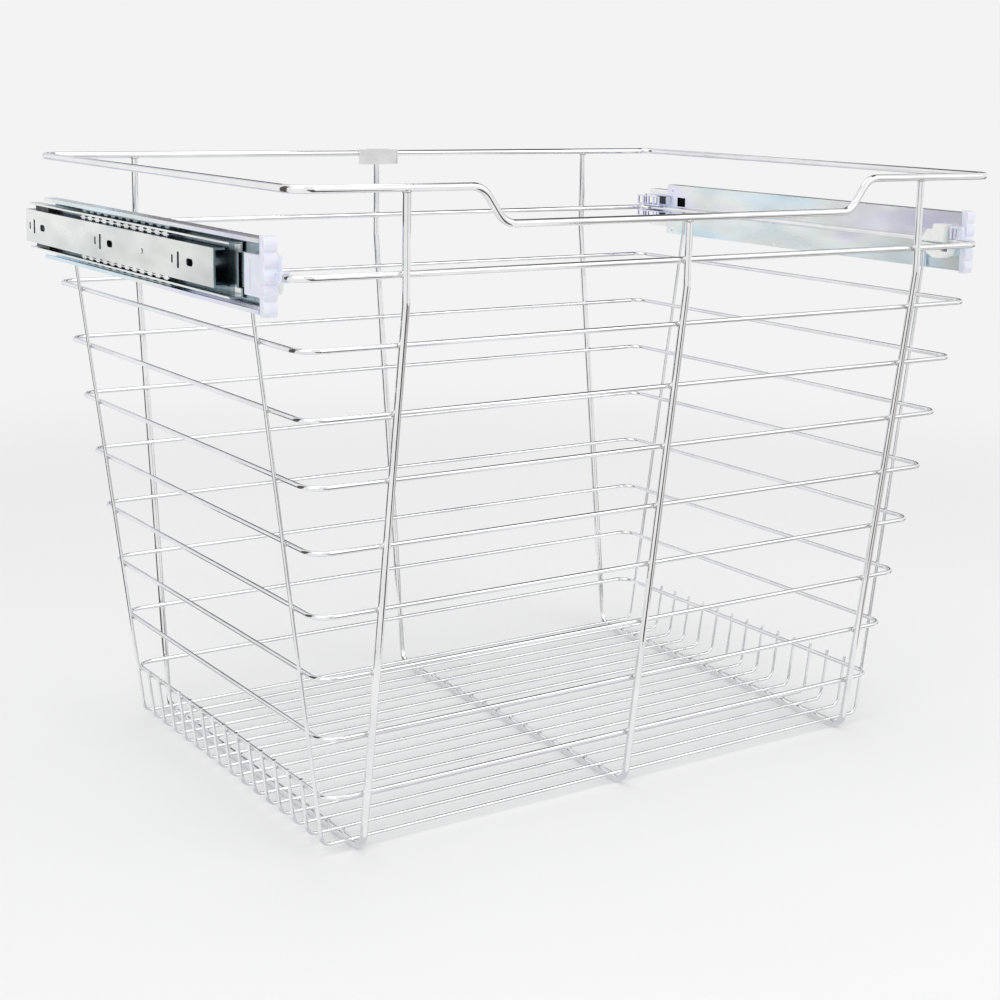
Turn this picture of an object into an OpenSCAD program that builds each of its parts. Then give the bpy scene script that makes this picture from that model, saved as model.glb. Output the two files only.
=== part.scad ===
// Pull-out cabinet basket: a tapered basket of chromed wire, carried by two full-extension
// ball-bearing slides. Millimetres, +Z up, front towards -Y, standing on its upright wires at Z = 0.

/* [Basket size] */
// Width over the wires of the top frame
basket_w = 567; // [520:1:700]
// Depth over the upright wires, front to back
basket_d = 408; // [370:1:450]
// Height from the underside of the uprights to the top of the top frame
basket_h = 425.5; // [400:0.5:470]
// Width over the wires of the slide frame
slide_frame_w = 562; // [500:1:580]
// Width over the bottom bends of the floor wires
floor_w = 468; // [440:1:500]
// Depth over the bottom bends of the uprights
floor_d = 311; // [295:1:340]

/* [Rings] */
// Drop from the top frame to the slide frame
slide_frame_drop = 50; // [46:0.5:60]
// Drop from the slide frame to the first side ring
first_ring_drop = 42; // [38:0.5:50]
// Height of the lowest side ring above the ground
lowest_ring_h = 40.5; // [34:0.5:46]
// Number of side rings below the slide frame
ring_count = 8; // [3:1:8]
// Bend radius of every ring corner, on the wire's axis
ring_corner_r = 12; // [8:0.5:13]
// Drop from the slide frame to the knee where uprights and hoops begin to lean in
knee_drop = 17; // [12:0.5:22]

/* [Wires] */
// Wire diameter of the top frame and the uprights
frame_wire_d = 5; // [4.4:0.1:5.6]
// Wire diameter of the slide frame
slide_wire_d = 4.2; // [3.8:0.1:4.4]
// Wire diameter of the side rings
side_wire_d = 3.2; // [2.6:0.1:3.6]
// Wire diameter of the hoops and floor wires
floor_wire_d = 2.5; // [2:0.1:3]
// How far crossing wires sink into each other where they are welded
weld_bite = 0.2; // [0.1:0.05:0.25]

/* [Hand dip] */
// Depth of the dip in the front run of the top frame
dip_depth = 22.5; // [16:0.5:28]
// Width of the dip where it leaves the frame's level
dip_top_w = 315; // [290:1:380]
// Width of the dip's low, level run
dip_low_w = 283; // [200:1:286]
// Bend radius of the dip, on the wire's axis
dip_bend_r = 15; // [8:0.5:16]

/* [Uprights and floor] */
// Distance from the middle upright to each side upright
upright_pitch = 209; // [190:1:215]
// Bend radius at the bottom of the uprights, on the wire's axis
upright_bend_r = 12; // [8:0.5:15]
// Number of wires across the floor, both hoops included
floor_wire_count = 16; // [12:1:16]
// Distance between the two hoops
hoop_span = 286; // [278:1:290]
// Bend radius of the floor wires, on the wire's axis
floor_bend_r = 7; // [5:0.5:9]
// How far the floor wires stand up past the lowest side ring
floor_end_rise = 3; // [2:0.5:6]

/* [Badge plate] */
// Width of the badge plate
badge_w = 36; // [24:1:50]
// Height of the badge plate
badge_h = 12; // [8:0.5:14]
// Thickness of the badge plate's sheet
badge_t = 1.4; // [1:0.1:2]
// How far the plate's middle lies below the middle of the wire
badge_drop = 3; // [0:0.5:3.5]

/* [Slide sections] */
// Height of the basket rail
slide_h = 43; // [42.6:0.1:44]
// Thickness of the closed slide
slide_t = 12.7; // [12.6:0.1:13]
// Height of the middle rail
middle_rail_h = 32.8; // [32.4:0.1:33.2]
// Height of the cabinet rail
cabinet_rail_h = 23.4; // [23:0.1:23.8]
// Sheet thickness of the basket rail
basket_sheet = 1.2; // [1:0.05:1.3]
// Sheet thickness of the middle rail
middle_sheet = 1.2; // [1:0.05:1.25]
// Sheet thickness of the cabinet rail
cabinet_sheet = 1.3; // [1.1:0.05:1.5]
// Width of the basket rail's flanges, out from its back face
basket_flange_w = 9.6; // [9.4:0.1:10]
// Depth of the lips on the basket rail's flanges
basket_lip = 1.3; // [1:0.1:2.3]
// Distance from the basket rail's back face to the tips of the middle rail's flanges
middle_flange_to = 11; // [10.7:0.1:11.2]
// Width of the cabinet rail's flanges
cabinet_flange_w = 7.4; // [6.8:0.1:7.5]

/* [Slide lengths] */
// Travel of the basket from closed to full extension
slide_travel = 320; // [280:5:345]
// Distance from the slide frame's front wire back to the basket rail's front end
rail_front_gap = 21; // [19:0.5:24]
// Distance from the basket rail's rear end back to the slide frame's rear wire
rail_rear_gap = 27; // [25:0.5:30]
// How far the middle rail's front end stays behind the basket rail's
middle_front_lag = 34; // [24:1:38]
// How far the cabinet rail's front end stays behind the basket rail's
cabinet_front_lag = 52; // [44:1:56]
// How far the middle rail's rear end stands out behind the basket rail's
middle_rear_lead = 28; // [26:0.5:30]
// How far the cabinet rail's rear end stands out behind the basket rail's
cabinet_rear_lead = 30; // [28:0.5:32]

/* [Ball cages] */
// Distance between neighbouring balls
ball_pitch = 12.7; // [9:0.1:12.8]
// Number of balls in each row
ball_count = 11; // [6:1:11]
// Length of each ball cage
cage_len = 150; // [148:1:152]
// Sheet thickness of the ball cages' webs
cage_sheet = 0.5; // [0.4:0.05:0.55]
// Thickness of the ladder strips that hold the balls
cage_strip_t = 0.8; // [0.6:0.05:1]

/* [Cabinet screws] */
// Distance between neighbouring screw slots of a cabinet rail
screw_pitch = 128; // [96:1:130]
// Width of each screw slot
screw_slot_w = 4.6; // [4:0.1:6.4]
// End-to-end length of each screw slot
screw_slot_len = 9.6; // [8:0.1:12]

/* [Plastic pieces] */
// Height of the front cap, a little more than the basket rail's
cap_h = 46; // [44.5:0.5:48]
// Thickness of the front cap, out from the basket rail's back face
cap_w = 8.4; // [8:0.1:10]
// Length of the front cap's block, without its lobes
cap_len = 4.4; // [4:0.1:6]
// Number of lobes on the cap's front
cap_lobes = 5; // [3:1:7]
// Length of the wire clamp along the slide
clamp_len = 22; // [18:0.5:22]
// Height of the wire clamp
clamp_h = 25; // [22:0.5:27]
// How far the wire clamp stands in from the basket rail
clamp_depth = 8.5; // [8:0.1:9]
// Length of the stop block at the rear of each cabinet rail
stop_len = 26; // [18:1:30]

/* [Hidden] */
$fn = 32;
CHROME = [0.82, 0.83, 0.85];
ZINC = [0.72, 0.76, 0.79];
STEEL = [0.6, 0.61, 0.63];
CAP_BLUE = [0.88, 0.9, 0.99];
CLAMP_WHITE = [0.94, 0.95, 0.94];
STOP_BLACK = [0.08, 0.08, 0.09];
SIDES = ["left", "right"];

// clearances
seat_clear = 0.1;      // between a wire and what it seats on
race_clear = 0.15;     // between a ball and its races
ball_sink = 0.05;      // how far a ball sits in each race
window_clear = 0.1;    // between a ball and its window in the cage
slide_clear = 0.4;     // between sheets that slide past each other
ball_stay = 2.8;       // how far inside a rail's end the last ball stays at full extension
over = 1;              // how far a cutting body reaches past what it cuts

// wire bends
bend_swell = 0.04;     // how much thicker a wire is in a bend
bend_lap = 0.25;       // how far a straight run reaches into a bend

// levels of the wire axes
frame_z = basket_h - frame_wire_d / 2;
slide_z = frame_z - slide_frame_drop;
top_ring_z = slide_z - first_ring_drop;
ring_pitch = (top_ring_z - lowest_ring_h) / (ring_count - 1);
upright_z = frame_wire_d / 2;
floor_z = frame_wire_d + floor_wire_d / 2 - weld_bite;
knee_z = slide_z - knee_drop;
floor_end_z = lowest_ring_h + side_wire_d / 2 + floor_end_rise;

// half sizes of the wire axes
frame_half_w = (basket_w - frame_wire_d) / 2;
frame_half_d = (basket_d - frame_wire_d) / 2;
slide_half_w = (slide_frame_w - slide_wire_d) / 2;
slide_half_d = frame_half_d - wire_gap(frame_wire_d, slide_wire_d);
floor_half_w = (floor_w - floor_wire_d) / 2;
floor_half_d = (floor_d - frame_wire_d) / 2;
side_lean = atan((slide_half_w - floor_half_w) / (knee_z - floor_z));
front_lean = atan((frame_half_d - floor_half_d) / (knee_z - upright_z));
hoop_y = hoop_span / 2;
floor_pitch = hoop_span / (floor_wire_count - 1);

// slide positions, along Y and out from the basket's middle
rail_x = slide_half_w + slide_wire_d / 2 + seat_clear;
rail_front_y = -slide_half_d + rail_front_gap;
rail_rear_y = slide_half_d - rail_rear_gap;
middle_front_y = rail_front_y + middle_front_lag;
middle_rear_y = rail_rear_y + middle_rear_lead;
cabinet_front_y = rail_front_y + cabinet_front_lag;
cabinet_rear_y = rail_rear_y + cabinet_rear_lead;
ball_reach = (ball_count - 1) / 2 * ball_pitch;
outer_cage_y = cabinet_front_y + ball_stay + slide_travel / 4 + ball_reach;
inner_cage_y = rail_rear_y - ball_stay - slide_travel / 4 - ball_reach;
screw_mid_y = (cabinet_front_y + cabinet_rear_y) / 2;

// gaps between the flanges, the balls in them and where the balls run
inner_gap = slide_h / 2 - basket_sheet - middle_rail_h / 2;
outer_gap = middle_rail_h / 2 - middle_sheet - cabinet_rail_h / 2;
inner_ball_d = inner_gap + 2 * ball_sink;
outer_ball_d = outer_gap + 2 * ball_sink;
inner_row_v = middle_rail_h / 2 + inner_gap / 2;
outer_row_v = cabinet_rail_h / 2 + outer_gap / 2;
inner_row_u = 5.2;
outer_row_u = 8;

// distances out from the basket rail's back face
inner_cage_at = basket_sheet + slide_clear;
middle_web_at = inner_cage_at + cage_sheet + slide_clear;
outer_cage_at = middle_web_at + middle_sheet + slide_clear;

// lances and windows stamped in the rails
lance_long = [3, 10];          // width and height of the long lance slot
lance_short = [2.4, 5];        // width and height of the short one
lance_long_at = 17;            // distance of the long slot behind the screw slot
lance_short_at = 26;           // distance of the short slot behind the screw slot
dent = [4.6, 0.9];             // diameter and depth of the round dent in the cabinet rail
dent_at = 107;                 // its distance behind the cabinet rail's front end
front_notch = [5.5, 21];       // length and height of the notch in the middle rail's front end
rear_notch = [62, 21];         // length and height of the notch in the middle rail's rear end
window_size = [11, 8];         // window near the basket rail's rear end
window_at = [20, 7];           // its middle: before the rear end, above the slide's middle
dimple = [4, 0.8];             // diameter and height of the dimples near the rear end
dimple_at = [6, 17.5];         // their middles: before the rear end, off the slide's middle
tail_reach = 6;                // how far the basket rail's tail passes the slide frame's rear wire
tail_half_h = 11.5;            // half the tail's height
tab_depth = 8;                 // how far the tail's tabs stand in over and under the wire
tab_t = 1;                     // thickness of the tabs
tab_rise = 8.5;                // height of the upper tab's upstand
tab_fall = 5.5;                // height of the lower tab's
tab_windows = 4;               // windows in each upstand
tab_bar = 2;                   // width of the bars between them
cage_tab = [6.2, 0.8];         // length and thickness of the tabs along a ball cage

// front cap, measured back from the basket rail's front end and in from its back face
cap_bulge = 1.6;               // how far the cap's lobes stand out in front of its block
plug_len = 20;                 // length of the plug inside the basket rail
plug_half_h = 12;              // half the plug's height
plug_slot = [0.8, 17, 3];      // width, height and depth of the slot in the plug's face
plug_slot_at = 12;             // how far behind the block it lies
saddle = [5, 6.6, 3];          // reach in, reach in front of the block, half height
hook_in = 4.2;                 // how far the hook stands in
hook_v = 11.5;                 // level of its top
hook_t = 1.8;                  // thickness of its bars
hook_reach = 7.1;              // how far it reaches behind the block
hook_plate_to = rail_front_y + 4.1;    // rear edge of the hook's plate
hook_slot = [1.2, 7];          // width and height of the slot in the plate
arm_reach = 2.7;               // how far the arm under the wire reaches behind the block

// wire clamp
clamp_at = 9;                  // its distance behind the basket rail's front end
clamp_hole = [6.4, 2.4];       // window in its lower part
clamp_hole_at = [-1.2, -6.4];
clamp_groove = 1.2;            // height of the groove along its inner side

// ---- sizes that follow from the driving dimensions ----

// Distance between the axes of two crossing wires that are welded together
function wire_gap(d1, d2) = (d1 + d2) / 2 - weld_bite;

// Level of side ring i, counted down from 1
function ring_z(i) = top_ring_z - (i - 1) * ring_pitch;

// Where the axis of a hoop or an upright lies at level z
function hoop_x(z) = floor_half_w + (z - floor_z) * tan(side_lean);
function upright_y(z) = floor_half_d + (z - upright_z) * tan(front_lean);

// Half width and half depth of the side ring at level z, inside the hoops and uprights
function ring_half_w(z) = hoop_x(z) - wire_gap(side_wire_d, floor_wire_d) / cos(side_lean);
function ring_half_d(z) = upright_y(z) - wire_gap(side_wire_d, frame_wire_d) / cos(front_lean);

// Radius of a round swelling or dent that is this wide and this high
function bulge_r(width, height) = (pow(width / 2, 2) + pow(height, 2)) / (2 * height);

// ---- wire bending ----

function unit(v) = v / norm(v);

// A matrix that puts the local axes x, y and z at the point o
function placed(x, y, z, o) = [
    [x.x, y.x, z.x, o.x],
    [x.y, y.y, z.y, o.y],
    [x.z, y.z, z.z, o.z],
    [0, 0, 0, 1]
];

// Length that a bend of radius r takes from each leg, for unit directions a and b
function bend_leg(a, b, r) = r * tan(acos(a * b) / 2);

// A straight stretch of wire from p to q
module wire_run(p, q, d) {
    run = q - p;
    translate(p)
        rotate([0, acos(run.z / norm(run)), atan2(run.y, run.x)])
            cylinder(h = norm(run), d = d);
}

// A bend at the corner v, from direction a to direction b
module wire_bend(v, a, b, r, d) {
    inward = unit(b - a * (a * b));
    centre = v - a * bend_leg(a, b, r) + inward * r;
    multmatrix(placed(-inward, a, cross(-inward, a), centre))
        rotate_extrude(angle = acos(a * b))
            translate([r, 0])
                circle(d = d + bend_swell);
}

// A wire bent along a list of corner points, with one bend radius for each of them
module bent_wire(points, radii, d, closed = false) {
    n = len(points);
    runs = closed ? n : n - 1;
    dirs = [for (i = [0:runs - 1]) unit(points[(i + 1) % n] - points[i])];
    // leg taken at each corner; the ends of an open wire take none
    legs = [for (i = [0:n - 1]) (closed || (i > 0 && i < n - 1))
        ? bend_leg(dirs[(i + n - 1) % n], dirs[i], radii[i]) : 0];
    // each run ends a little way inside the bends at its ends
    cuts = [for (leg = legs) max(leg - bend_lap, 0)];
    for (i = [0:runs - 1])
        wire_run(points[i] + dirs[i] * cuts[i],
            points[(i + 1) % n] - dirs[i] * cuts[(i + 1) % n], d);
    for (i = [0:n - 1])
        if (legs[i] > 0)
            wire_bend(points[i], dirs[(i + n - 1) % n], dirs[i], radii[i], d);
}

// A closed ring with rounded corners, lying level at height z
module level_ring(half_w, half_d, z, d) {
    bent_wire(
        [[-half_w, -half_d, z], [half_w, -half_d, z], [half_w, half_d, z], [-half_w, half_d, z]],
        [for (i = [1:4]) ring_corner_r], d, closed = true);
}

// ---- the wire basket ----

module top_frame() {
    low_z = frame_z - dip_depth;
    color(CHROME)
        bent_wire([
            [-frame_half_w, -frame_half_d, frame_z],
            [-dip_top_w / 2, -frame_half_d, frame_z],
            [-dip_low_w / 2, -frame_half_d, low_z],
            [dip_low_w / 2, -frame_half_d, low_z],
            [dip_top_w / 2, -frame_half_d, frame_z],
            [frame_half_w, -frame_half_d, frame_z],
            [frame_half_w, frame_half_d, frame_z],
            [-frame_half_w, frame_half_d, frame_z]
        ], [
            ring_corner_r, dip_bend_r, dip_bend_r, dip_bend_r, dip_bend_r,
            ring_corner_r, ring_corner_r, ring_corner_r
        ], frame_wire_d, closed = true);
}

module slide_frame() {
    color(CHROME)
        level_ring(slide_half_w, slide_half_d, slide_z, slide_wire_d);
}

module side_ring(i) {
    color(CHROME)
        level_ring(ring_half_w(ring_z(i)), ring_half_d(ring_z(i)), ring_z(i), side_wire_d);
}

// A U of heavy wire at x, butted under the top frame; front_top is where its front end stops
module upright(x, front_top) {
    back_top = frame_z - frame_wire_d / 2 + weld_bite;
    color(CHROME)
        bent_wire([
            [x, -frame_half_d, front_top],
            [x, -frame_half_d, knee_z],
            [x, -floor_half_d, upright_z],
            [x, floor_half_d, upright_z],
            [x, frame_half_d, knee_z],
            [x, frame_half_d, back_top]
        ], [for (i = [1:6]) upright_bend_r], frame_wire_d);
}

module side_upright(side) {
    upright(side == "left" ? -upright_pitch : upright_pitch,
        frame_z - frame_wire_d / 2 + weld_bite);
}

module middle_upright() {
    upright(0, frame_z - dip_depth - frame_wire_d / 2 + weld_bite);
}

// A thin wire across the floor that climbs both sides up to the slide frame
module hoop(y) {
    top_z = slide_z - slide_wire_d / 2 + weld_bite;
    color(CHROME)
        bent_wire([
            [-slide_half_w, y, top_z],
            [-slide_half_w, y, knee_z],
            [-floor_half_w, y, floor_z],
            [floor_half_w, y, floor_z],
            [slide_half_w, y, knee_z],
            [slide_half_w, y, top_z]
        ], [for (i = [1:6]) floor_bend_r], floor_wire_d);
}

// A thin wire across the floor whose ends turn up outside the lowest ring
module floor_wire(i) {
    y = -hoop_y + i * floor_pitch;
    end_x = hoop_x(floor_end_z);
    color(CHROME)
        bent_wire([
            [-end_x, y, floor_end_z],
            [-floor_half_w, y, floor_z],
            [floor_half_w, y, floor_z],
            [end_x, y, floor_end_z]
        ], [for (i = [1:4]) floor_bend_r], floor_wire_d);
}

// A blank plate on the front side of the top frame's rear run, with a lip over the wire
module badge_plate() {
    rim = 1;
    recess = 0.5;
    front_y = -frame_wire_d / 2 - seat_clear - badge_t;
    lip_z = frame_wire_d / 2 + seat_clear;
    lip_t = 1;
    color(CHROME)
        translate([0, frame_half_d, frame_z])
            difference() {
                union() {
                    translate([-badge_w / 2, front_y, -badge_drop - badge_h / 2])
                        cube([badge_w, badge_t, badge_h]);
                    translate([-badge_w / 4, front_y, lip_z])
                        cube([badge_w / 2, -front_y, lip_t]);
                    translate([-badge_w / 4, front_y, 0])
                        cube([badge_w / 2, badge_t, lip_z + lip_t]);
                }
                translate([-badge_w / 2 + rim, front_y - over, -badge_drop - badge_h / 2 + rim])
                    cube([badge_w - 2 * rim, recess + over, badge_h - 2 * rim]);
            }
}

// ---- slide pieces: drawn for the right side, mirrored for the left ----

// Children are drawn with X out from the basket rail's back face and Z from the slide's middle
module on_side(side) {
    mirror([side == "left" ? 1 : 0, 0, 0])
        translate([rail_x, 0, slide_z])
            children();
}

// A section drawn in (out, up), run along Y from y0 to y1
module run_along(y0, y1) {
    translate([0, y1, 0])
        rotate([90, 0, 0])
            linear_extrude(height = y1 - y0)
                children();
}

// A channel section: web from web_at, open towards flange_to, with lips at the flange tips
module channel(web_at, flange_to, height, sheet, lip) {
    inside = height / 2 - sheet;
    open_at = web_at < flange_to ? flange_to : web_at;
    difference() {
        translate([web_at, -height / 2])
            square([flange_to - web_at, height]);
        translate([web_at + sheet, -inside])
            square([flange_to - web_at - 2 * sheet, 2 * inside]);
        translate([open_at - sheet - over, -inside + lip])
            square([sheet + 2 * over, 2 * (inside - lip)]);
    }
}

// The grooves that a row of balls runs in, above and below the slide's middle
module races(row_u, row_v, ball_d) {
    for (v = [-row_v, row_v])
        translate([row_u, v])
            circle(d = ball_d + 2 * race_clear);
}

// A round hole through a rail's web at y, v
module web_hole(y, v, d) {
    translate([-over, y, v])
        rotate([0, 90, 0])
            cylinder(h = slide_t + 2 * over, d = d);
}

// A rectangular hole through a rail's web with its middle at y, v
module web_window(y, v, size) {
    translate([-over, y - size.x / 2, v - size.y / 2])
        cube([slide_t + 2 * over, size.x, size.y]);
}

// A slot with round ends through a rail's web, along Y
module web_slot(y, len, width) {
    web_window(y, 0, [len - width, width]);
    for (end = [-1, 1])
        web_hole(y + end * (len - width) / 2, 0, width);
}

module cabinet_rail() {
    half = cabinet_rail_h / 2;
    dent_r = bulge_r(dent.x, dent.y);
    color(ZINC)
        difference() {
            run_along(cabinet_front_y, cabinet_rear_y)
                difference() {
                    translate([slide_t - cabinet_flange_w, -half])
                        square([cabinet_flange_w, cabinet_rail_h]);
                    translate([slide_t - cabinet_flange_w - over, -half + cabinet_sheet])
                        square([cabinet_flange_w - cabinet_sheet + over,
                            cabinet_rail_h - 2 * cabinet_sheet]);
                    races(outer_row_u, outer_row_v, outer_ball_d);
                }
            for (i = [-1:1]) {
                y = screw_mid_y + i * screw_pitch;
                web_slot(y, screw_slot_len, screw_slot_w);
                web_window(y + lance_long_at, 0, lance_long);
                web_window(y + lance_short_at, 0, lance_short);
            }
            // round dent pressed into the face
            translate([slide_t - dent.y + dent_r, cabinet_front_y + dent_at, 0])
                sphere(r = dent_r);
        }
}

module middle_rail() {
    color(ZINC)
        difference() {
            run_along(middle_front_y, middle_rear_y)
                difference() {
                    channel(middle_web_at, middle_flange_to, middle_rail_h, middle_sheet, 0);
                    races(inner_row_u, inner_row_v, inner_ball_d);
                    races(outer_row_u, outer_row_v, outer_ball_d);
                }
            web_window(middle_front_y, 0, [2 * front_notch.x, front_notch.y]);
            web_window(middle_rear_y, 0, [2 * rear_notch.x, rear_notch.y]);
        }
}

module basket_rail() {
    color(ZINC)
        union() {
            difference() {
                run_along(rail_front_y, rail_rear_y)
                    difference() {
                        channel(0, basket_flange_w, slide_h, basket_sheet, basket_lip);
                        races(inner_row_u, inner_row_v, inner_ball_d);
                    }
                web_window(rail_rear_y - window_at.x, window_at.y, window_size);
            }
            for (v = [-dimple_at.y, dimple_at.y])
                translate([-dimple.y, rail_rear_y - dimple_at.x, v])
                    rotate([0, 90, 0])
                        cylinder(h = dimple.y + basket_sheet / 2, d = dimple.x);
            rail_tail();
        }
}

// The basket rail's rear tail, with windowed tabs bent in over and under the slide frame's wire
module rail_tail() {
    tail_len = rail_rear_gap + tail_reach;
    shelf_v = slide_wire_d / 2 + 2 * seat_clear;
    difference() {
        translate([0, rail_rear_y - basket_sheet, -tail_half_h])
            cube([basket_sheet, tail_len + basket_sheet, 2 * tail_half_h]);
        for (rise = [tab_rise, -tab_fall])
            web_window(rail_rear_y + tail_len / 2, sign(rise) * (shelf_v + tab_t) + rise / 2,
                [tail_len - 2 * tab_bar, abs(rise) - tab_t]);
    }
    rail_tab(shelf_v, tab_rise, tail_len);
    mirror([0, 0, 1])
        rail_tab(shelf_v, tab_fall, tail_len);
}

// A shelf beside the wire that ends in an upstand with a row of windows
module rail_tab(shelf_v, rise, tail_len) {
    front_y = rail_rear_y + tab_bar;
    tab_len = tail_len - tab_bar;
    pitch = (tab_len - tab_bar) / tab_windows;
    translate([-tab_depth, front_y, shelf_v])
        cube([tab_depth + basket_sheet, tab_len, tab_t]);
    difference() {
        translate([-tab_depth, front_y, shelf_v])
            cube([tab_t, tab_len, rise]);
        for (i = [0:tab_windows - 1])
            translate([-tab_depth - over, front_y + tab_bar + i * pitch, shelf_v + tab_t])
                cube([tab_t + 2 * over, pitch - tab_bar, rise - 2 * tab_t]);
    }
}

// A cage: a web between the rails, two strips with a window for each ball, and a tab turned up
// beside every window
module ball_cage(web_at, strip_to, row_v, row_u, ball_d, mid_y) {
    outer_v = row_v + cage_strip_t / 2;
    tab_h = ball_d - 2 * ball_sink - 2 * slide_clear;
    color(STEEL)
        union() {
            difference() {
                run_along(mid_y - cage_len / 2, mid_y + cage_len / 2)
                    difference() {
                        translate([web_at, -outer_v])
                            square([strip_to - web_at, 2 * outer_v]);
                        translate([web_at + cage_sheet, -outer_v + cage_strip_t])
                            square([strip_to - web_at, 2 * (outer_v - cage_strip_t)]);
                    }
                for (i = [0:ball_count - 1])
                    translate([row_u, ball_y(mid_y, i), -outer_v - over])
                        cylinder(h = 2 * (outer_v + over), d = ball_d + 2 * window_clear);
                // light slots along the web
                for (end = [-1, 1])
                    translate([-over, mid_y + end * cage_len / 4 - cage_len / 8, -outer_v / 2])
                        cube([slide_t, cage_len / 4, outer_v]);
            }
            for (v = [-row_v, row_v], i = [0:ball_count])
                translate([strip_to - cage_tab.y, ball_y(mid_y, i - 0.5) - cage_tab.x / 2, v - tab_h / 2])
                    cube([cage_tab.y, cage_tab.x, tab_h]);
        }
}

function ball_y(mid_y, i) = mid_y + (i - (ball_count - 1) / 2) * ball_pitch;

module ball_rows(row_v, row_u, ball_d, mid_y) {
    color(STEEL)
        for (v = [-row_v, row_v], i = [0:ball_count - 1])
            translate([row_u, ball_y(mid_y, i), v])
                sphere(d = ball_d);
}

module outer_cage() {
    ball_cage(outer_cage_at, middle_flange_to - middle_sheet, outer_row_v, outer_row_u,
        outer_ball_d, outer_cage_y);
}

module outer_balls() {
    ball_rows(outer_row_v, outer_row_u, outer_ball_d, outer_cage_y);
}

module inner_cage() {
    ball_cage(inner_cage_at, basket_flange_w - basket_sheet - slide_clear, inner_row_v,
        inner_row_u, inner_ball_d, inner_cage_y);
}

module inner_balls() {
    ball_rows(inner_row_v, inner_row_u, inner_ball_d, inner_cage_y);
}

// Black plastic block in the rear end of the cabinet rail, with ears above and below it
module stop_block() {
    end_gap = 12;
    ear_v = middle_rail_h / 2 - middle_sheet - slide_clear;
    ear_to = middle_flange_to - middle_sheet - slide_clear;
    core_v = cabinet_rail_h / 2 - cabinet_sheet - seat_clear;
    plate_to = slide_t - cabinet_flange_w - seat_clear;
    y1 = cabinet_rear_y - end_gap;
    color(STOP_BLACK)
        run_along(y1 - stop_len, y1) {
            translate([outer_cage_at, -ear_v])
                square([plate_to - outer_cage_at, 2 * ear_v]);
            translate([outer_cage_at, -core_v])
                square([slide_t - cabinet_sheet - seat_clear - outer_cage_at, 2 * core_v]);
            for (v = [-ear_v, cabinet_rail_h / 2 + seat_clear])
                translate([outer_cage_at, v])
                    square([ear_to - outer_cage_at, ear_v - cabinet_rail_h / 2 - seat_clear]);
        }
}

// The slide frame's wire with room around it, as the plastic pieces on it are cut for
module frame_wire_room() {
    translate([-rail_x, 0, -slide_z])
        level_ring(slide_half_w, slide_half_d, slide_z, slide_wire_d + 2 * seat_clear);
}

// Bluish bumper on the basket rail's front end: a lobed block, a plug and a hook on the wire
module front_cap() {
    lobe_h = cap_h / cap_lobes;
    lobe_r = bulge_r(lobe_h, cap_bulge);
    back_y = rail_front_y - seat_clear;
    front_y = back_y - cap_len;
    plug_u = basket_sheet + seat_clear;
    hook_end = back_y + hook_reach;
    color(CAP_BLUE)
        difference() {
            union() {
                translate([0, front_y, -cap_h / 2])
                    cube([cap_w, cap_len, cap_h]);
                for (i = [0:cap_lobes - 1])
                    translate([0, front_y, (i + 0.5) * lobe_h - cap_h / 2])
                        cap_lobe(lobe_h, lobe_r);
                // plug inside the basket rail
                translate([plug_u, back_y - over, -plug_half_h])
                    cube([cap_w - seat_clear - plug_u, plug_len + over, 2 * plug_half_h]);
                // saddle around the slide frame's wire, in front of the block and beside it
                translate([-saddle.x, front_y - saddle.y, -saddle.z])
                    cube([saddle.x + over, cap_len + saddle.y, 2 * saddle.z]);
                // arm under the wire
                translate([-hook_in, back_y - over, -slide_wire_d / 2 - hook_t])
                    cube([hook_in - seat_clear, arm_reach + over, hook_t]);
                // hook over the wire: a bar, an arm at its end and a plate beside the block
                translate([-hook_in, front_y, hook_v - hook_t])
                    cube([hook_in - seat_clear, hook_end - front_y, hook_t]);
                translate([-hook_in, hook_end - hook_t, 0])
                    cube([hook_in - seat_clear, hook_t, hook_v - hook_t / 2]);
                translate([-hook_in + hook_t / 2, front_y, 0])
                    cube([hook_in - seat_clear - hook_t / 2, hook_plate_to - front_y, hook_v - hook_t / 2]);
            }
            frame_wire_room();
            // mouth that the wire snaps in through
            translate([-saddle.x - over, front_y - saddle.y - over, -slide_wire_d * 0.4])
                cube([saddle.x + over - slide_wire_d / 2, 2 * plug_len, slide_wire_d * 0.8]);
            // slots in the plug's face and in the hook's plate
            translate([cap_w - plug_slot.z, back_y + plug_slot_at, -plug_slot.y / 2])
                cube([plug_slot.z + over, plug_slot.x, plug_slot.y]);
            translate([-hook_in - over, back_y + 1, hook_v - hook_t - hook_slot.y])
                cube([hook_in + over - hook_t / 2, hook_slot.x, hook_slot.y]);
        }
}

// One shallow lobe on the front of the block, with its middle at the origin
module cap_lobe(height, r) {
    intersection() {
        translate([0, r - cap_bulge, 0])
            rotate([0, 90, 0])
                cylinder(h = cap_w, r = r);
        translate([0, -cap_bulge - over, -height / 2])
            cube([cap_w, cap_bulge + 2 * over, height]);
    }
}

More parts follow.
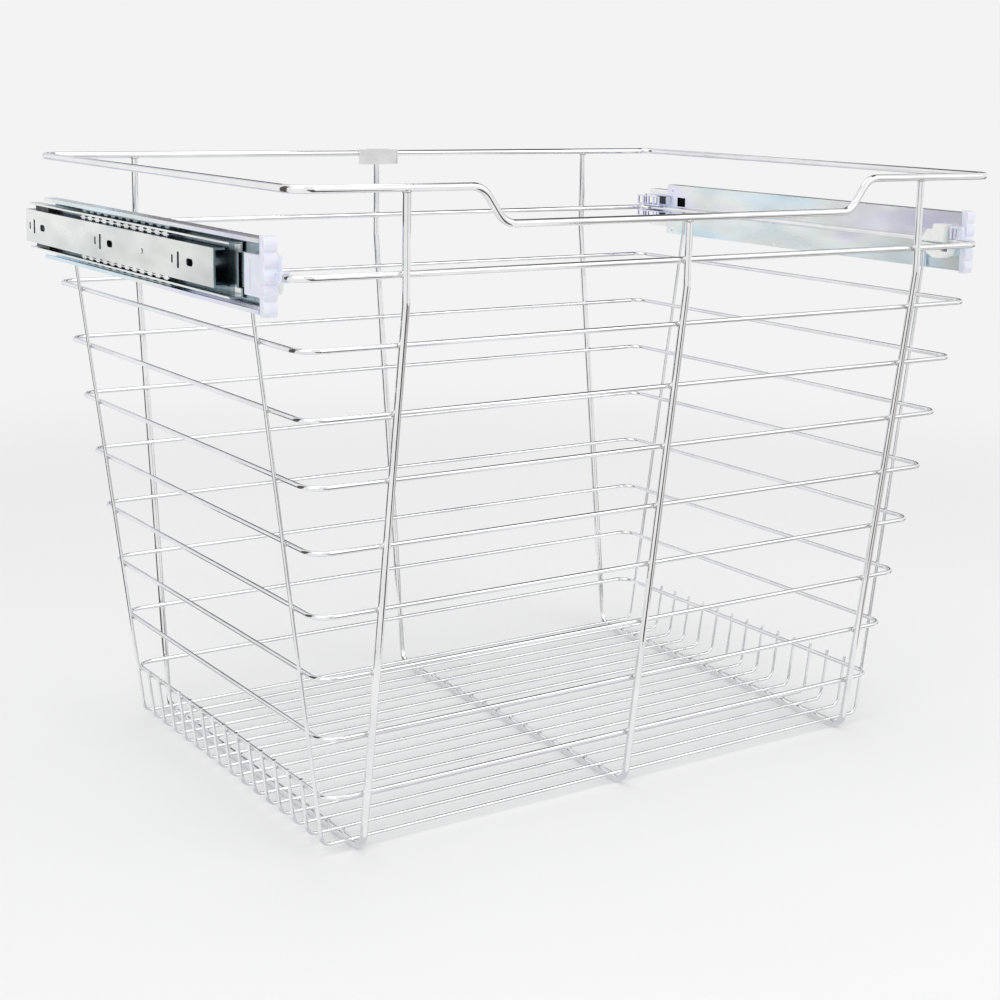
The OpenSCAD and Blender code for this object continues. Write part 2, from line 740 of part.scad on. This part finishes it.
// White clamp that holds the side wire of the slide frame against the basket rail
module wire_clamp() {
    at_y = rail_front_y + clamp_at;
    // [along, up] as shares of the clamp's length and height
    outline = [
        [0.02, 0.49], [0.49, 0.49], [0.51, 0.34], [0.76, 0.31], [1, 0.02], [0.93, -0.24],
        [0.68, -0.42], [0.41, -0.51], [0.05, -0.51], [-0.17, -0.43], [-0.25, -0.28],
        [-0.25, -0.13], [0, -0.13], [0, 0.47]
    ];
    color(CLAMP_WHITE)
        difference() {
            translate([-clamp_depth, at_y, 0])
                rotate([90, 0, 90])
                    linear_extrude(height = clamp_depth - seat_clear)
                        difference() {
                            polygon([for (p = outline) [p.x * clamp_len, p.y * clamp_h]]);
                            translate(clamp_hole_at)
                                square(clamp_hole, center = true);
                        }
            frame_wire_room();
            // groove below the wire
            translate([-clamp_depth - over, at_y - over, -slide_wire_d / 2 - seat_clear])
                cube([clamp_depth - slide_wire_d, clamp_len + 2 * over, clamp_groove]);
        }
}

// ---- the nodes ----

top_frame();
slide_frame();
for (i = [1:ring_count])
    side_ring(i);
side_upright("left");  // left_upright
middle_upright();
side_upright("right");  // right_upright
hoop(-hoop_y);  // front_hoop
hoop(hoop_y);  // rear_hoop
for (i = [1:floor_wire_count - 2])
    floor_wire(i);
badge_plate();
for (side = SIDES) {
    on_side(side) cabinet_rail();
    on_side(side) stop_block();
    on_side(side) outer_cage();
    on_side(side) outer_balls();
    on_side(side) middle_rail();
    on_side(side) inner_cage();
    on_side(side) inner_balls();
    on_side(side) basket_rail();
    on_side(side) front_cap();
    on_side(side) wire_clamp();
}
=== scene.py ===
import math

import bmesh
import bpy
from mathutils import Matrix, Vector, geometry, noise
from mathutils.bvhtree import BVHTree


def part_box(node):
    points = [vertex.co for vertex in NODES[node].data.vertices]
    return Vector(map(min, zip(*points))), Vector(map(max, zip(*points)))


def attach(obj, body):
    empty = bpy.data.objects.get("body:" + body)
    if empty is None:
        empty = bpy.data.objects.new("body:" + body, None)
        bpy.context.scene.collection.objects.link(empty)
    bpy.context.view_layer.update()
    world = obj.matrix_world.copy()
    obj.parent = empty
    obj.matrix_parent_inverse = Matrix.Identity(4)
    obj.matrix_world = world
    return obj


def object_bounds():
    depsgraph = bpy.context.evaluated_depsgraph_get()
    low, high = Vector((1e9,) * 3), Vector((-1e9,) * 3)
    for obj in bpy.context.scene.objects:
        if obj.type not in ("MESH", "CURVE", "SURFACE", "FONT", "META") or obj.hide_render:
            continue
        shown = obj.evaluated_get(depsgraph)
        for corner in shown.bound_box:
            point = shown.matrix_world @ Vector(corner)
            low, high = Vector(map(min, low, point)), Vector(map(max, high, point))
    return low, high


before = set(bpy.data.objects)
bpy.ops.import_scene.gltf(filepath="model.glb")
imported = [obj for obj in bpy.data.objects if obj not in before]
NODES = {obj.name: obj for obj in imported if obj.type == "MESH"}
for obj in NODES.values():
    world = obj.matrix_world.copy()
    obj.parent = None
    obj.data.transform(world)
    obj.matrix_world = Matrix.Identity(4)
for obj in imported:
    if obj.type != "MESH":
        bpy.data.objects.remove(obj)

# Pull-out cabinet basket: chromed wire basket on two full-extension ball-bearing slides.
# Lengths are metres, in the CAD frame: +X right, +Y back, +Z up, the floor at Z 0.

MM = 0.001
CAD_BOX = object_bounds()

# ---------------------------------------------------------------- photograph's viewpoint
CAMERA_AT = Vector((-730.2, -1083.8, 486.0)) * MM
CAMERA_YAW = 34.63      # degrees from +Y towards +X
CAMERA_PITCH = -10.51   # degrees above the horizon
CAMERA_ROLL = 1.19      # degrees
FRAME_PX = 1000         # width and height of the picture
FOCAL_PX = 1782.4       # focal length in pixels of that frame
CENTRE_PX = (529.5, 408.5)     # where the camera's axis meets the frame, from its top left
SENSOR_MM = 36.0
CLIP_NEAR = 0.05
CLIP_FAR = 60.0

# ---------------------------------------------------------------- studio levels
BACKGROUND = 0.896      # linear grey of the background that the camera sees
MIRRORED = 1.02         # level of the white surroundings that the metal reflects
AMBIENT = 0.73          # world light that falls on the object
DARK = (0.12, 0.112, 0.10)     # tones of the cards that outline the chrome
GREY = (0.42, 0.41, 0.395)
PALE = (0.74, 0.765, 0.83)
# painted shadow: tone of the card that stands for the basket's shade on the floor, as mirrors see
# it
UNDER_SHADOW_TONE = (0.74, 0.755, 0.785)
UNDER_BASKET = (0.245, 0.165)  # half sizes of the floor that lies in the basket's own shade
CARD_LIFT = 0.4 * MM           # height of a card that lies on the floor
ARC_STEPS = 12
FLOOR_ALBEDO = 0.90
FLOOR_CLOUD = 0.004     # how far the floor's tone strays to either side
FLOOR_SIDES = 96
FLOOR_RADIUS = 9.0
FLOOR_PLAIN_FROM = 0.75  # the floor fades from lit to plain background between these radii
FLOOR_PLAIN_TO = 1.6
TARGET = Vector((0.0, 0.0, 0.22))   # what the lamps and the upright cards are placed round


def camera_axes():
    """Right, up and forward unit vectors of the photograph's camera."""
    yaw = math.radians(-CAMERA_YAW)
    pitch = math.radians(CAMERA_PITCH)
    roll = math.radians(CAMERA_ROLL)
    level = math.cos(pitch)
    forward = Vector((-math.sin(yaw) * level, math.cos(yaw) * level, math.sin(pitch)))
    right = Vector((math.cos(yaw), math.sin(yaw), 0.0))
    up = right.cross(forward)
    return (
        right * math.cos(roll) + up * math.sin(roll),
        up * math.cos(roll) - right * math.sin(roll),
        forward,
    )


def make_camera():
    right, up, forward = camera_axes()
    data = bpy.data.cameras.new("camera")
    data.sensor_width = SENSOR_MM
    data.lens = FOCAL_PX * SENSOR_MM / FRAME_PX
    data.shift_x = -(CENTRE_PX[0] - FRAME_PX / 2) / FRAME_PX
    data.shift_y = (CENTRE_PX[1] - FRAME_PX / 2) / FRAME_PX
    data.clip_start = CLIP_NEAR
    data.clip_end = CLIP_FAR
    camera = bpy.data.objects.new("camera", data)
    bpy.context.scene.collection.objects.link(camera)
    turn = Matrix((right, up, -forward)).transposed().to_4x4()
    camera.matrix_world = Matrix.Translation(CAMERA_AT) @ turn
    bpy.context.scene.camera = camera


# ---------------------------------------------------------------- slides
SLIDE_Z = 373.0 * MM        # level of the slides' middle
RAIL_BACK = 281.1 * MM      # basket rail's back face, out from the basket's middle
RAIL_REAR = 170.1 * MM      # rear end of the basket rail
BEYOND = 1.0                # a limit outside the part: no limit


def out(distance):
    """A distance out from the basket rail's back face, in mm, as a distance from the middle."""
    return RAIL_BACK + distance * MM


SHADE_AND_GREASE = (0.21, 0.27, 0.30)     # painted shade inside the slides, with some grease where the balls run
SHADE_AND_GREASE_THIN = 1.7               # how many times paler the painted shade is in its paler patches
# Where each piece carries the painted shade of the slides' insides, with some grease where the
# balls
# run: distances out from the basket's middle (from, to), half height about the slide's middle, and
# its front and rear ends along Y. The faces that lie farther out carry no painted shade: they are
# the bright ones that are seen from the side.
SHADE_AND_GREASE_FACES = {
    "cabinet_rail": (0.0, out(12.6), BEYOND, -BEYOND, BEYOND),
    "outer_cage": (0.0, out(9.7), BEYOND, -BEYOND, BEYOND),
    "middle_rail": (0.0, out(10.9), BEYOND, -134.0 * MM, RAIL_REAR),
    "inner_cage": (0.0, out(20.0), BEYOND, -BEYOND, BEYOND),
    "basket_rail": (out(1.1), out(9.5), 18.6 * MM, -BEYOND, RAIL_REAR),
}
PAINT_MASK_BLUR = 0.05 * MM           # softness of the edges of the painted shade and of the dent's painted highlight
DENT_AT = (-17.1 * MM, SLIDE_Z)   # middle of the round dent, along Y and up
DENT_R = 2.4 * MM
# painted highlight: the tone that the round dent is painted, near white, to stand for its glint
DENT_HIGHLIGHT_TONE = (0.97, 0.97, 0.97)


# ---------------------------------------------------------------- material helpers
class Shader:
    """A material's node tree with short calls for the nodes that this scene uses."""

    def __init__(self, name):
        self.material = bpy.data.materials.new(name)
        self.material.use_nodes = True
        self.tree = self.material.node_tree
        self.bsdf = self.tree.nodes["Principled BSDF"]
        self.output = self.tree.nodes["Material Output"]
        self.place = self.add("ShaderNodeTexCoord").outputs["Object"]

    def add(self, kind, **values):
        node = self.tree.nodes.new(kind)
        for key, value in values.items():
            setattr(node, key, value)
        return node

    def link(self, source, target):
        self.tree.links.new(source, target)

    def set(self, **values):
        for key, value in values.items():
            self.bsdf.inputs[key.replace("_", " ")].default_value = value

    def noise(self, scale, detail=2.0, stretch=(1, 1, 1)):
        mapping = self.add("ShaderNodeMapping")
        mapping.inputs["Scale"].default_value = stretch
        self.link(self.place, mapping.inputs["Vector"])
        texture = self.add("ShaderNodeTexNoise")
        texture.inputs["Scale"].default_value = scale
        texture.inputs["Detail"].default_value = detail
        self.link(mapping.outputs["Vector"], texture.inputs["Vector"])
        return texture.outputs["Fac"]

    def ramp(self, factor, stops):
        """Colour ramp: stops are (position, (r, g, b))."""
        node = self.add("ShaderNodeValToRGB")
        band = node.color_ramp
        while len(band.elements) < len(stops):
            band.elements.new(0.5)
        for element, (position, colour) in zip(band.elements, stops):
            element.position = position
            element.color = (*colour, 1.0)
        self.link(factor, node.inputs["Fac"])
        return node.outputs["Color"]

    def span(self, factor, low, high, start=0.35, end=0.65):
        """Maps a noise factor from start..end onto low..high."""
        node = self.add("ShaderNodeMapRange")
        node.inputs["From Min"].default_value = start
        node.inputs["From Max"].default_value = end
        node.inputs["To Min"].default_value = low
        node.inputs["To Max"].default_value = high
        self.link(factor, node.inputs["Value"])
        return node.outputs["Result"]

    def bump(self, height, strength, distance):
        node = self.add("ShaderNodeBump")
        node.inputs["Strength"].default_value = strength
        node.inputs["Distance"].default_value = distance
        self.link(height, node.inputs["Height"])
        self.link(node.outputs["Normal"], self.bsdf.inputs["Normal"])

    def math(self, operation, *values):
        node = self.add("ShaderNodeMath", operation=operation)
        for socket, value in zip(node.inputs, values):
            if isinstance(value, (int, float)):
                socket.default_value = value
            else:
                self.link(value, socket)
        return node.outputs[0]

    def axes(self):
        node = self.add("ShaderNodeSeparateXYZ")
        self.link(self.place, node.inputs[0])
        return node.outputs

    def within(self, value, low, high):
        """1 where the value lies between the limits, 0 elsewhere."""
        rise = self.span(value, 0.0, 1.0, low - PAINT_MASK_BLUR, low + PAINT_MASK_BLUR)
        fall = self.span(value, 1.0, 0.0, high - PAINT_MASK_BLUR, high + PAINT_MASK_BLUR)
        return self.math("MULTIPLY", rise, fall)

    def blend(self, factor, first, second):
        """The first colour where the factor is 0, the second where it is 1."""
        node = self.add("ShaderNodeMix", data_type="RGBA")
        self.link(factor, node.inputs["Factor"])
        for socket, value in ((node.inputs[6], first), (node.inputs[7], second)):
            if isinstance(value, tuple):
                socket.default_value = (*value, 1.0)
            else:
                self.link(value, socket)
        return node.outputs[2]

    def colour(self, output):
        self.link(output, self.bsdf.inputs["Base Color"])

    def roughness(self, output):
        self.link(output, self.bsdf.inputs["Roughness"])


def chrome(name, low, high, smooth, dull):
    """Bright chrome plating: faint cloudiness in tone and polish, and a drawn-wire ripple."""
    s = Shader(name)
    s.set(Metallic=1.0)
    cloud = s.noise(46.0, 3.0)
    s.colour(s.ramp(cloud, [(0.3, low), (0.7, high)]))
    s.roughness(s.span(s.noise(150.0, 3.0), smooth, dull))
    s.bump(s.noise(420.0, 2.0), 0.05, 0.0004)
    return s.material


def weld_metal():
    """Chromed weld squeeze-out: darker and uneven."""
    s = Shader("weld_metal")
    s.set(Metallic=1.0)
    s.colour(s.ramp(s.noise(900.0, 3.0), [
        (0.35, (0.30, 0.28, 0.26)), (0.6, (0.72, 0.71, 0.70))]))
    s.roughness(s.span(s.noise(1300.0, 2.0), 0.18, 0.42))
    s.bump(s.noise(1500.0, 3.0), 0.6, 0.0004)
    return s.material


def zinc(name, tones, smooth, dull, grain, shade_and_grease_faces, dent_highlight=False):
    """Zinc-plated strip: broad passivation tints, rolling lines along Y and a fine grain.

    The sixth argument is where the strip carries painted shade of the slide's insides, with some
    grease where the balls run, as a row of the table above. With the last argument set, the round
    dent is painted near white as a painted highlight.
    """
    s = Shader(name)
    s.set(Metallic=1.0, Anisotropic=0.35)
    tone = s.ramp(s.noise(11.0, 3.0, (1.0, 0.45, 1.6)), tones)
    out_from, out_to, half, front, rear = shade_and_grease_faces
    x, y, z = s.axes()
    # painted shade: faces inside these limits are darkened towards the shade tone, with some
    # grease; the outer faces stay bright
    up = s.math("SUBTRACT", z, SLIDE_Z)
    share = s.math("MULTIPLY", s.within(s.math("ABSOLUTE", x), out_from, out_to),
                   s.within(up, -half, half))
    share = s.math("MULTIPLY", share, s.within(y, front, rear))
    paler_shade_and_grease = tuple(SHADE_AND_GREASE_THIN * c for c in SHADE_AND_GREASE)
    tone = s.blend(share, tone, s.ramp(s.noise(140.0, 3.0), [(0.3, SHADE_AND_GREASE), (0.7, paler_shade_and_grease)]))
    # painted highlight: the round dent is painted near white
    if dent_highlight:
        squares = [s.math("POWER", s.math("SUBTRACT", place, middle), 2.0)
                   for place, middle in zip((y, z), DENT_AT)]
        away = s.math("SQRT", s.math("ADD", *squares))
        tone = s.blend(s.within(away, -BEYOND, DENT_R), tone, DENT_HIGHLIGHT_TONE)
    s.colour(tone)
    s.roughness(s.span(s.noise(60.0, 4.0, (1.0, 0.3, 1.0)), smooth, dull))
    s.bump(s.noise(700.0, 3.0, (1.0, 0.04, 1.0)), grain, 0.0003)
    return s.material


def plastic(name, low, high, rough, through):
    """Moulded plastic with a faint cloud, a fine moulded texture and some light through it."""
    s = Shader(name)
    s.set(IOR=1.49, Subsurface_Weight=through, Subsurface_Scale=0.004)
    s.colour(s.ramp(s.noise(90.0, 3.0), [(0.3, low), (0.7, high)]))
    s.roughness(s.span(s.noise(240.0, 2.0), rough - 0.06, rough + 0.08))
    s.bump(s.noise(1600.0, 2.0), 0.08, 0.0002)
    return s.material


# ---------------------------------------------------------------- materials by piece
def dress_nodes():
    frame_chrome = chrome("frame_chrome", (0.74, 0.74, 0.75), (0.83, 0.83, 0.835), 0.03, 0.08)
    thin_chrome = chrome("thin_wire_chrome", (0.70, 0.705, 0.72), (0.80, 0.805, 0.82), 0.04, 0.10)
    badge = chrome("badge_chrome", (0.64, 0.64, 0.65), (0.76, 0.76, 0.76), 0.10, 0.20)
    outer_tones = [
        (0.30, (0.79, 0.83, 0.82)),
        (0.50, (0.88, 0.89, 0.87)),
        (0.70, (0.82, 0.86, 0.85)),
    ]
    inner_tones = [
        (0.28, (0.52, 0.66, 0.80)),
        (0.42, (0.66, 0.79, 0.87)),
        (0.52, (0.78, 0.81, 0.79)),
        (0.62, (0.74, 0.73, 0.88)),
        (0.76, (0.57, 0.71, 0.81)),
    ]
    steel_tones = [(0.35, (0.80, 0.81, 0.81)), (0.65, (0.92, 0.92, 0.92))]
    # The slides' pieces carry painted shade on their inner faces, with some grease; the cabinet
    # rail's round dent carries a painted highlight.
    by_word = {
        "cabinet_rail": zinc("zinc_cabinet_rail", outer_tones, 0.26, 0.38, 0.10,
                             SHADE_AND_GREASE_FACES["cabinet_rail"], dent_highlight=True),
        "middle_rail": zinc("zinc_middle_rail", outer_tones, 0.20, 0.32, 0.10,
                            SHADE_AND_GREASE_FACES["middle_rail"]),
        "basket_rail": zinc("zinc_basket_rail", inner_tones, 0.16, 0.28, 0.08,
                            SHADE_AND_GREASE_FACES["basket_rail"]),
        "outer_cage": zinc("cage_steel", steel_tones, 0.22, 0.34, 0.05, SHADE_AND_GREASE_FACES["outer_cage"]),
        "inner_cage": zinc("inner_cage_steel", steel_tones, 0.22, 0.34, 0.05,
                           SHADE_AND_GREASE_FACES["inner_cage"]),
        "balls": chrome("ball_steel", (0.60, 0.60, 0.61), (0.70, 0.70, 0.71), 0.06, 0.12),
        "front_cap": plastic("cap_plastic", (0.76, 0.78, 0.90), (0.83, 0.85, 0.95), 0.34, 0.35),
        "wire_clamp": plastic("clamp_plastic", (0.88, 0.91, 0.89), (0.94, 0.96, 0.94), 0.30, 0.25),
        "stop_block": plastic("stop_plastic", (0.012, 0.013, 0.015), (0.025, 0.026, 0.028),
                              0.42, 0.0),
        "badge_plate": badge,
        "top_frame": frame_chrome,
        "slide_frame": frame_chrome,
        "upright": frame_chrome,
        "side_ring": thin_chrome,
        "hoop": thin_chrome,
        "floor_wire": thin_chrome,
    }
    for name, node in NODES.items():
        word = next(w for w in by_word if w in name)
        node.data.materials.clear()
        node.data.materials.append(by_word[word])


# ---------------------------------------------------------------- weld beads
WIRE_WORDS = ("top_frame", "slide_frame", "side_ring", "upright", "hoop", "floor_wire")
WELD_SPACING = 6 * MM     # crossings closer than this are one weld
WELD_REACH = 0.45 * MM    # how far the squeeze-out shows past the crossing wire
WELD_HEIGHT = 0.62        # half height of a bead across the wires, in the thinner wire's radii
WELD_LUMP = 0.10          # unevenness of a bead, as a share of its radius
LUMP_SCALE = 1.7          # lumps of the noise along one radius of a bead
LUMP_SPREAD = 900         # noise shift per metre, so that no two beads are alike
FLAT_WIRE = 4 * MM        # a wire bent in one plane has a box thinner than twice this
LEAST_SPREAD = 0.05       # sine between two face normals, below which they give no direction
LEAST_CROSSING = 0.3      # sine between two wires, below which they run side by side


def wire_radius(node):
    """Half the thickness of a wire's box; the wire of the dipped top frame is an upright's."""
    low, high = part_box(node)
    flat = min(high - low) / 2
    return flat if flat < FLAT_WIRE else wire_radius("middle_upright")


def tree_of(node):
    """A node's search tree, corners and triangles."""
    mesh = NODES[node].data
    mesh.calc_loop_triangles()
    corners = [v.co.copy() for v in mesh.vertices]
    faces = [tuple(t.vertices) for t in mesh.loop_triangles]
    return BVHTree.FromPolygons(corners, faces), corners, faces


def edge_hits(triangle, other):
    """Points where the first triangle's edges pass through the second."""
    found = []
    for i in range(3):
        start, end = triangle[i], triangle[(i + 1) % 3]
        along = end - start
        hit = geometry.intersect_ray_tri(*other, along, start, True)
        if hit is not None and 0 <= (hit - start).dot(along) <= along.length_squared:
            found.append(hit)
    return found


def axis_from(normals):
    """The direction that a wire runs in, from the normals of some of its faces."""
    best = max((a.cross(b) for a in normals for b in normals), key=lambda v: v.length)
    return best.normalized() if best.length > LEAST_SPREAD else None


def crossings(first, second):
    """Welds between two wires: (place, first wire's direction, second wire's direction)."""
    tree_a, points_a, faces_a = first
    tree_b, points_b, faces_b = second
    groups = []
    for i, j in tree_a.overlap(tree_b):
        a = [points_a[k] for k in faces_a[i]]
        b = [points_b[k] for k in faces_b[j]]
        for hit in edge_hits(a, b) + edge_hits(b, a):
            near = next((g for g in groups if (g["at"] - hit).length < WELD_SPACING), None)
            if near is None:
                near = {"at": hit.copy(), "hits": [], "a": [], "b": []}
                groups.append(near)
            near["hits"].append(hit)
            near["a"].append(geometry.normal(a))
            near["b"].append(geometry.normal(b))
    welds = []
    for g in groups:
        at = sum(g["hits"], Vector()) / len(g["hits"])
        along_a, along_b = axis_from(g["a"]), axis_from(g["b"])
        if along_a and along_b and along_a.cross(along_b).length > LEAST_CROSSING:
            welds.append((at, along_a, along_b))
    return welds


def add_bead(bm, at, along_a, along_b, radius_a, radius_b):
    """One uneven squashed bead between two crossing wires."""
    across = along_a.cross(along_b).normalized()
    along_b = across.cross(along_a)
    size = (
        radius_b + WELD_REACH,
        radius_a + WELD_REACH,
        WELD_HEIGHT * min(radius_a, radius_b),
    )
    turn = Matrix((along_a, along_b, across)).transposed()
    made = bmesh.ops.create_icosphere(bm, subdivisions=2, radius=1.0)
    for v in made["verts"]:
        uneven = 1 + WELD_LUMP * noise.noise(v.co * LUMP_SCALE + at * LUMP_SPREAD)
        place = at + turn @ Vector([c * s * uneven for c, s in zip(v.co, size)])
        v.co = [min(max(c, low), high) for c, low, high in zip(place, *CAD_BOX)]


def make_welds():
    """Beads at every crossing, as one piece for each wire that comes first at its crossings."""
    wires = [n for n in NODES if any(w in n for w in WIRE_WORDS)]
    trees = {n: tree_of(n) for n in wires}
    material = weld_metal()
    count = 0
    for i, first in enumerate(wires):
        bm = bmesh.new()
        for second in wires[i + 1:]:
            for at, along_a, along_b in crossings(trees[first], trees[second]):
                add_bead(bm, at, along_a, along_b, wire_radius(first), wire_radius(second))
                count += 1
        if bm.verts:
            mesh = bpy.data.meshes.new("welds_" + first)
            bm.to_mesh(mesh)
            mesh.materials.append(material)
            for polygon in mesh.polygons:
                polygon.use_smooth = True
            piece = bpy.data.objects.new("welds_" + first, mesh)
            bpy.context.scene.collection.objects.link(piece)
            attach(piece, "basket")
        bm.free()
    print("welds made:", count)


# ---------------------------------------------------------------- studio
def with_surroundings(tree, kind, lit):
    """The lit surface or sky for the light on the object; plain white for eye and mirror."""
    path = tree.nodes.new("ShaderNodeLightPath")
    seen = tree.nodes.new("ShaderNodeMath")
    seen.operation = "MAXIMUM"
    tree.links.new(path.outputs["Is Camera Ray"], seen.inputs[0])
    tree.links.new(path.outputs["Is Transmission Ray"], seen.inputs[1])
    glossy = path.outputs["Is Glossy Ray"]
    for factor, level in ((seen.outputs[0], BACKGROUND), (glossy, MIRRORED)):
        plain = tree.nodes.new(kind)
        plain.inputs["Color"].default_value = (1.0, 1.0, 1.0, 1.0)
        plain.inputs["Strength"].default_value = level
        mix = tree.nodes.new("ShaderNodeMixShader")
        tree.links.new(factor, mix.inputs["Fac"])
        tree.links.new(lit, mix.inputs[1])
        tree.links.new(plain.outputs[0], mix.inputs[2])
        lit = mix.outputs[0]
    return lit


def make_world():
    world = bpy.data.worlds.new("studio")
    bpy.context.scene.world = world
    world.use_nodes = True
    tree = world.node_tree
    tree.nodes.clear()
    light = tree.nodes.new("ShaderNodeBackground")
    light.inputs["Color"].default_value = (1.0, 1.0, 1.0, 1.0)
    light.inputs["Strength"].default_value = AMBIENT
    output = tree.nodes.new("ShaderNodeOutputWorld")
    whole = with_surroundings(tree, "ShaderNodeBackground", light.outputs[0])
    tree.links.new(whole, output.inputs["Surface"])


def floor_material():
    """Pale paper floor that keeps the shadow near the object and is plain background beyond."""
    s = Shader("floor")
    s.colour(s.ramp(s.noise(3.0), [
        (0.3, (FLOOR_ALBEDO - FLOOR_CLOUD,) * 3), (0.7, (FLOOR_ALBEDO + FLOOR_CLOUD,) * 3)]))
    s.set(Roughness=0.9, Specular_IOR_Level=0.0)
    length = s.add("ShaderNodeVectorMath", operation="LENGTH")
    s.link(s.place, length.inputs[0])
    far = s.add("ShaderNodeMapRange", interpolation_type="SMOOTHSTEP")
    far.inputs["From Min"].default_value = FLOOR_PLAIN_FROM
    far.inputs["From Max"].default_value = FLOOR_PLAIN_TO
    s.link(length.outputs["Value"], far.inputs["Value"])
    plain = with_surroundings(s.tree, "ShaderNodeEmission", s.bsdf.outputs[0])
    # mirrors see the plain white everywhere, the camera sees it only far from the object
    path = s.add("ShaderNodeLightPath")
    share = s.math("MAXIMUM", far.outputs["Result"], path.outputs["Is Glossy Ray"])
    mix = s.add("ShaderNodeMixShader")
    s.link(share, mix.inputs["Fac"])
    s.link(s.bsdf.outputs[0], mix.inputs[1])
    s.link(plain, mix.inputs[2])
    s.link(mix.outputs[0], s.output.inputs["Surface"])
    return s.material


def make_floor():
    bm = bmesh.new()
    bmesh.ops.create_circle(bm, cap_ends=True, segments=FLOOR_SIDES, radius=FLOOR_RADIUS)
    mesh = bpy.data.meshes.new("floor")
    bm.to_mesh(mesh)
    bm.free()
    mesh.materials.append(floor_material())
    floor = bpy.data.objects.new("floor", mesh)
    bpy.context.scene.collection.objects.link(floor)


def around(azimuth, elevation, distance):
    """A place round the basket: azimuth in degrees from +Y towards +X."""
    a, e = math.radians(azimuth), math.radians(elevation)
    level = math.cos(e)
    return TARGET + distance * Vector((math.sin(a) * level, math.cos(a) * level, math.sin(e)))


def facing(place):
    """The turn that points a lamp at the basket."""
    return (TARGET - place).to_track_quat("-Z", "Y").to_euler()


def softbox(name, azimuth, elevation, distance, width, height, radiance):
    """Area lamp of the given radiance (1 is white in a mirror)."""
    data = bpy.data.lights.new(name, "AREA")
    data.shape = "RECTANGLE"
    data.size, data.size_y = width, height
    data.energy = radiance * math.pi * width * height
    lamp = bpy.data.objects.new(name, data)
    lamp.location = around(azimuth, elevation, distance)
    lamp.rotation_euler = facing(lamp.location)
    bpy.context.scene.collection.objects.link(lamp)


def card(name, corners, tone):
    """Card that only mirrors see, as a photographer sets up to outline chrome."""
    s = Shader(name)
    s.tree.nodes.remove(s.bsdf)
    glow = s.add("ShaderNodeEmission")
    glow.inputs["Color"].default_value = (*tone, 1.0)
    s.link(glow.outputs[0], s.output.inputs["Surface"])
    mesh = bpy.data.meshes.new(name)
    mesh.from_pydata(corners, [], [tuple(range(len(corners)))])
    mesh.materials.append(s.material)
    piece = bpy.data.objects.new(name, mesh)
    for seen_by in ("camera", "diffuse", "shadow", "transmission"):
        setattr(piece, "visible_" + seen_by, False)
    bpy.context.scene.collection.objects.link(piece)


def wall_card(name, azimuths, elevations, distance, tone):
    """Upright card that spans these azimuths and elevations, seen from the basket."""
    (a0, a1), (e0, e1) = azimuths, elevations
    spans = ((a0, e0), (a1, e0), (a1, e1), (a0, e1))
    card(name, [around(a, e, distance) for a, e in spans], tone)


def arc_card(name, centre, radii, sweep, distance, tone):
    """Upright card behind the basket: part of a ring, swept in degrees from +X up towards +Z."""
    start, end = sweep
    angles = [math.radians(start + (end - start) * i / ARC_STEPS) for i in range(ARC_STEPS + 1)]
    corners = []
    for radius, turns in zip(radii, (angles, reversed(angles))):
        corners += [(centre[0] + radius * math.cos(a), distance, centre[1] + radius * math.sin(a))
                    for a in turns]
    card(name, corners, tone)


def floor_card(name, azimuths, reach, tone):
    """Card lying on the floor that spans these azimuths, from the near to the far reach."""
    (a0, a1), (near, far) = [math.radians(a) for a in azimuths], reach
    spans = ((a0, near), (a1, near), (a1, far), (a0, far))
    card(name, [(r * math.sin(a), r * math.cos(a), CARD_LIFT) for a, r in spans], tone)


def make_studio():
    bpy.context.scene.view_settings.view_transform = "Standard"
    make_world()
    make_floor()
    softbox("softbox_left", -125, 38, 2.2, 1.5, 1.2, 1.6)
    softbox("softbox_front", 146, 30, 2.4, 1.5, 1.1, 1.7)
    softbox("softbox_top", 20, 82, 2.0, 1.6, 1.2, 1.15)
    wall_card("card_back_left", (-85, -47), (-12, 48), 2.0, DARK)
    wall_card("card_back", (-16, 23), (2, 42), 2.3, PALE)
    arc_card("card_back_arc", (-0.27, 0.30), (0.63, 0.98), (-16, 72), 1.5, DARK)
    wall_card("card_front", (-184, -170), (-12, 6), 2.6, GREY)
    wall_card("card_back_right", (38, 70), (8, 54), 1.9, DARK)
    wall_card("card_over_right", (62, 112), (50, 66), 1.8, DARK)
    wall_card("card_over_back", (6, 36), (47, 60), 1.9, DARK)
    floor_card("card_floor_back_left", (-85, -42), (0.45, 2.6), DARK)
    floor_card("card_floor_front", (-188, -161), (0.35, 2.6), DARK)
    floor_card("card_floor_front_right", (122, 152), (0.40, 1.3), GREY)
    floor_card("card_floor_right", (62, 108), (0.45, 2.6), GREY)
    floor_card("card_floor_back", (-22, 30), (0.42, 2.6), PALE)
    # painted shadow: a card under the basket, seen only by mirrors, stands for the basket's shade
    # on the floor
    half_x, half_y = UNDER_BASKET
    sides = ((-half_x, -half_y), (half_x, -half_y), (half_x, half_y), (-half_x, half_y))
    card("card_floor_painted_shadow", [(x, y, CARD_LIFT) for x, y in sides], UNDER_SHADOW_TONE)


# ---------------------------------------------------------------- build
make_camera()
make_studio()
dress_nodes()
make_welds()
